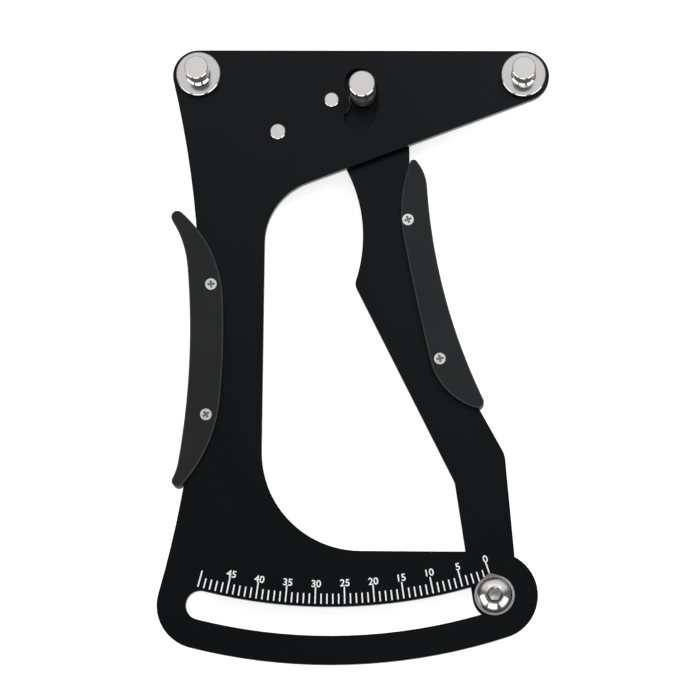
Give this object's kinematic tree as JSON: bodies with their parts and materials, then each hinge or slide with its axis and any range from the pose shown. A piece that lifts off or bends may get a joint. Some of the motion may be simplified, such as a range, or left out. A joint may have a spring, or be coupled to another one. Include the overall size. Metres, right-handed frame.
{
  "type": "spoke tension meter",
  "caption": "Hand-squeezed meter that bends a wheel spoke across round posts and shows its tension with a pointer on a numbered arc scale.",
  "frame": {"origin": "centre of the meter's outline, at the level of the pivot rivet's tail, its lowest point as it lies on its back", "axes": "+Z out of the front face that carries the scale, +Y towards the posts, +X towards the open side of the body, where the lever is"},
  "size_m": [0.1352, 0.217, 0.027],
  "materials": {
    "black_plate": "black anodised, fine bead-blasted",
    "grip_plastic": "matte dark grey, moulded",
    "polished_steel": "turned and polished",
    "zinc_steel": "bright zinc plated",
    "pointer_steel": "stamped, satin",
    "spring_steel": "drawn wire, oiled",
    "slide_plastic": "natural acetal"
  },
  "bodies": {
    "body": {"body_plate": "black_plate", "left_post": "polished_steel", "right_post": "polished_steel", "pivot_pin": "polished_steel", "pivot_washer": "zinc_steel", "spring_spool": "zinc_steel", "spring_anchor": "polished_steel", "return_spring": "spring_steel", "left_grip_front": "grip_plastic", "left_grip_rear": "grip_plastic", "left_grip_screws": "zinc_steel", "left_grip_nuts": "zinc_steel"},
    "lever": {"lever_plate": "black_plate", "middle_post": "polished_steel", "pointer": "pointer_steel", "pointer_screw": "polished_steel", "guide_sleeve": "zinc_steel", "slide_washer": "slide_plastic", "nut_washer": "zinc_steel", "pointer_nut": "zinc_steel", "right_grip_front": "grip_plastic", "right_grip_rear": "grip_plastic", "right_grip_screws": "zinc_steel", "right_grip_nuts": "zinc_steel"}
  },
  "joints": [
    {"name": "lever_pivot", "type": "hinge", "parent": "body", "child": "lever", "pos_m": [-0.00912, 0.0906, 0.0095], "axis": [0, 0, -1], "range_deg": [0, 32], "stiffness_Nm_per_rad": 0.48, "springref_deg": -40.11, "deforming": ["return_spring"]}
  ]
}
